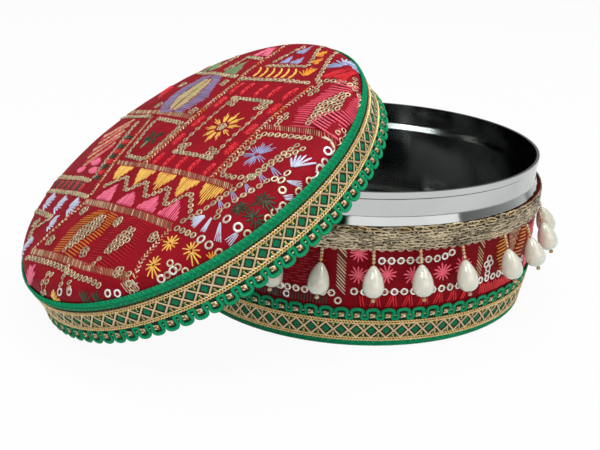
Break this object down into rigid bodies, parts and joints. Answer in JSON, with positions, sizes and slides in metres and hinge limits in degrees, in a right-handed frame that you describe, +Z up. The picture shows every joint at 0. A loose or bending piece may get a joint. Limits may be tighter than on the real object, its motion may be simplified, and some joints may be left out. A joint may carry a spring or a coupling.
{
  "type": "sweet box",
  "caption": "Round steel sweet box with an embroidered side band, hanging pearl drops and lace trim, and its padded embroidered lid leaning on the rim.",
  "frame": {"origin": "centre of the flat underside of the box's foot", "axes": "+Z up along the box's axis, -X towards the side where the lid leans"},
  "size_m": [0.2897, 0.2177, 0.1297],
  "materials": {
    "polished_steel": "polished",
    "embroidered_cloth": "embroidered satin",
    "foam_pad": "open foam",
    "gold_braid": "metallic crochet",
    "gold_lattice_lace": "metallic woven lace",
    "green_cord": "woven viscose",
    "pearl": "pearlescent",
    "gold_thread": "metallic thread and seed beads"
  },
  "bodies": {
    "box": {"container_shell": "polished_steel", "side_band": "embroidered_cloth", "zari_braid": "gold_braid", "base_trim_tape": "gold_lattice_lace", "base_trim_edge_cord": "green_cord", "base_trim_gimp": "green_cord"},
    "lid": {"lid_shell": "polished_steel", "lid_pad": "foam_pad", "lid_cover": "embroidered_cloth", "lid_trim_tape": "gold_lattice_lace", "lid_trim_edge_cord": "green_cord", "lid_trim_gimp": "green_cord"},
    "drop_01": {"pearl_01": "pearl", "pearl_hanger_01": "gold_thread"},
    "drop_02": {"pearl_02": "pearl", "pearl_hanger_02": "gold_thread"},
    "drop_03": {"pearl_03": "pearl", "pearl_hanger_03": "gold_thread"},
    "drop_04": {"pearl_04": "pearl", "pearl_hanger_04": "gold_thread"},
    "drop_05": {"pearl_05": "pearl", "pearl_hanger_05": "gold_thread"},
    "drop_06": {"pearl_06": "pearl", "pearl_hanger_06": "gold_thread"},
    "drop_07": {"pearl_07": "pearl", "pearl_hanger_07": "gold_thread"},
    "drop_08": {"pearl_08": "pearl", "pearl_hanger_08": "gold_thread"},
    "drop_09": {"pearl_09": "pearl", "pearl_hanger_09": "gold_thread"},
    "drop_10": {"pearl_10": "pearl", "pearl_hanger_10": "gold_thread"},
    "drop_11": {"pearl_11": "pearl", "pearl_hanger_11": "gold_thread"},
    "drop_12": {"pearl_12": "pearl", "pearl_hanger_12": "gold_thread"},
    "drop_13": {"pearl_13": "pearl", "pearl_hanger_13": "gold_thread"},
    "drop_14": {"pearl_14": "pearl", "pearl_hanger_14": "gold_thread"},
    "drop_15": {"pearl_15": "pearl", "pearl_hanger_15": "gold_thread"},
    "drop_16": {"pearl_16": "pearl", "pearl_hanger_16": "gold_thread"},
    "drop_17": {"pearl_17": "pearl", "pearl_hanger_17": "gold_thread"},
    "drop_18": {"pearl_18": "pearl", "pearl_hanger_18": "gold_thread"},
    "drop_19": {"pearl_19": "pearl", "pearl_hanger_19": "gold_thread"},
    "drop_20": {"pearl_20": "pearl", "pearl_hanger_20": "gold_thread"},
    "drop_21": {"pearl_21": "pearl", "pearl_hanger_21": "gold_thread"},
    "drop_22": {"pearl_22": "pearl", "pearl_hanger_22": "gold_thread"},
    "drop_23": {"pearl_23": "pearl", "pearl_hanger_23": "gold_thread"},
    "drop_24": {"pearl_24": "pearl", "pearl_hanger_24": "gold_thread"}
  },
  "joints": [
    {"name": "lid_lift", "type": "slide", "parent": "box", "child": "lid", "axis": [0, 0, 1], "range_m": [0, 0.12]},
    {"name": "drop_01_swing", "type": "hinge", "parent": "box", "child": "drop_01", "pos_m": [-0.07523, -0.06312, 0.0516], "axis": [-0.6428, 0.766, 0], "range_deg": [0, 55]},
    {"name": "drop_02_swing", "type": "hinge", "parent": "box", "child": "drop_02", "pos_m": [-0.05978, -0.07791, 0.0516], "axis": [-0.7934, 0.6088, 0], "range_deg": [0, 55]},
    {"name": "drop_03_swing", "type": "hinge", "parent": "box", "child": "drop_03", "pos_m": [-0.03916, -0.09005, 0.0516], "axis": [-0.9171, 0.3987, 0], "range_deg": [0, 55]},
    {"name": "drop_04_swing", "type": "hinge", "parent": "box", "child": "drop_04", "pos_m": [-0.0179, -0.09656, 0.0516], "axis": [-0.9833, 0.1822, 0], "range_deg": [0, 55]},
    {"name": "drop_05_swing", "type": "hinge", "parent": "box", "child": "drop_05", "pos_m": [0.00428, -0.09811, 0.0516], "axis": [-0.999, -0.0436, 0], "range_deg": [0, 55]},
    {"name": "drop_06_swing", "type": "hinge", "parent": "box", "child": "drop_06", "pos_m": [0.03197, -0.09285, 0.0516], "axis": [-0.9455, -0.3256, 0], "range_deg": [0, 55]},
    {"name": "drop_07_swing", "type": "hinge", "parent": "box", "child": "drop_07", "pos_m": [0.05204, -0.08328, 0.0516], "axis": [-0.848, -0.5299, 0], "range_deg": [0, 55]},
    {"name": "drop_08_swing", "type": "hinge", "parent": "box", "child": "drop_08", "pos_m": [0.07182, -0.06697, 0.0516], "axis": [-0.682, -0.7314, 0], "range_deg": [0, 55]},
    {"name": "drop_09_swing", "type": "hinge", "parent": "box", "child": "drop_09", "pos_m": [0.08708, -0.04539, 0.0516], "axis": [-0.4622, -0.8868, 0], "range_deg": [0, 55]},
    {"name": "drop_10_swing", "type": "hinge", "parent": "box", "child": "drop_10", "pos_m": [0.09603, -0.02052, 0.0516], "axis": [-0.2089, -0.9779, 0], "range_deg": [0, 55]},
    {"name": "drop_11_swing", "type": "hinge", "parent": "box", "child": "drop_11", "pos_m": [0.09803, 0.00584, 0.0516], "axis": [0.0595, -0.9982, 0], "range_deg": [0, 55]},
    {"name": "drop_12_swing", "type": "hinge", "parent": "box", "child": "drop_12", "pos_m": [0.09291, 0.03178, 0.0516], "axis": [0.3236, -0.9462, 0], "range_deg": [0, 55]},
    {"name": "drop_13_swing", "type": "hinge", "parent": "box", "child": "drop_13", "pos_m": [0.08107, 0.05541, 0.0516], "axis": [0.5643, -0.8256, 0], "range_deg": [0, 55]},
    {"name": "drop_14_swing", "type": "hinge", "parent": "box", "child": "drop_14", "pos_m": [0.06335, 0.07503, 0.0516], "axis": [0.7641, -0.6451, 0], "range_deg": [0, 55]},
    {"name": "drop_15_swing", "type": "hinge", "parent": "box", "child": "drop_15", "pos_m": [0.04104, 0.08921, 0.0516], "axis": [0.9085, -0.418, 0], "range_deg": [0, 55]},
    {"name": "drop_16_swing", "type": "hinge", "parent": "box", "child": "drop_16", "pos_m": [0.01576, 0.09693, 0.0516], "axis": [0.987, -0.1605, 0], "range_deg": [0, 55]},
    {"name": "drop_17_swing", "type": "hinge", "parent": "box", "child": "drop_17", "pos_m": [-0.01067, 0.09762, 0.0516], "axis": [0.9941, 0.1086, 0], "range_deg": [0, 55]},
    {"name": "drop_18_swing", "type": "hinge", "parent": "box", "child": "drop_18", "pos_m": [-0.03632, 0.09124, 0.0516], "axis": [0.9291, 0.3698, 0], "range_deg": [0, 55]},
    {"name": "drop_19_swing", "type": "hinge", "parent": "box", "child": "drop_19", "pos_m": [-0.05934, 0.07824, 0.0516], "axis": [0.7968, 0.6043, 0], "range_deg": [0, 55]},
    {"name": "drop_20_swing", "type": "hinge", "parent": "box", "child": "drop_20", "pos_m": [-0.07806, 0.05958, 0.0516], "axis": [0.6067, 0.7949, 0], "range_deg": [0, 55]},
    {"name": "drop_21_swing", "type": "hinge", "parent": "box", "child": "drop_21", "pos_m": [-0.09112, 0.0366, 0.0516], "axis": [0.3727, 0.928, 0], "range_deg": [0, 55]},
    {"name": "drop_22_swing", "type": "hinge", "parent": "box", "child": "drop_22", "pos_m": [-0.09759, 0.01097, 0.0516], "axis": [0.1117, 0.9937, 0], "range_deg": [0, 55]},
    {"name": "drop_23_swing", "type": "hinge", "parent": "box", "child": "drop_23", "pos_m": [-0.09698, -0.01546, 0.0516], "axis": [-0.1574, 0.9875, 0], "range_deg": [0, 55]},
    {"name": "drop_24_swing", "type": "hinge", "parent": "box", "child": "drop_24", "pos_m": [-0.08934, -0.04077, 0.0516], "axis": [-0.4152, 0.9097, 0], "range_deg": [0, 55]}
  ]
}
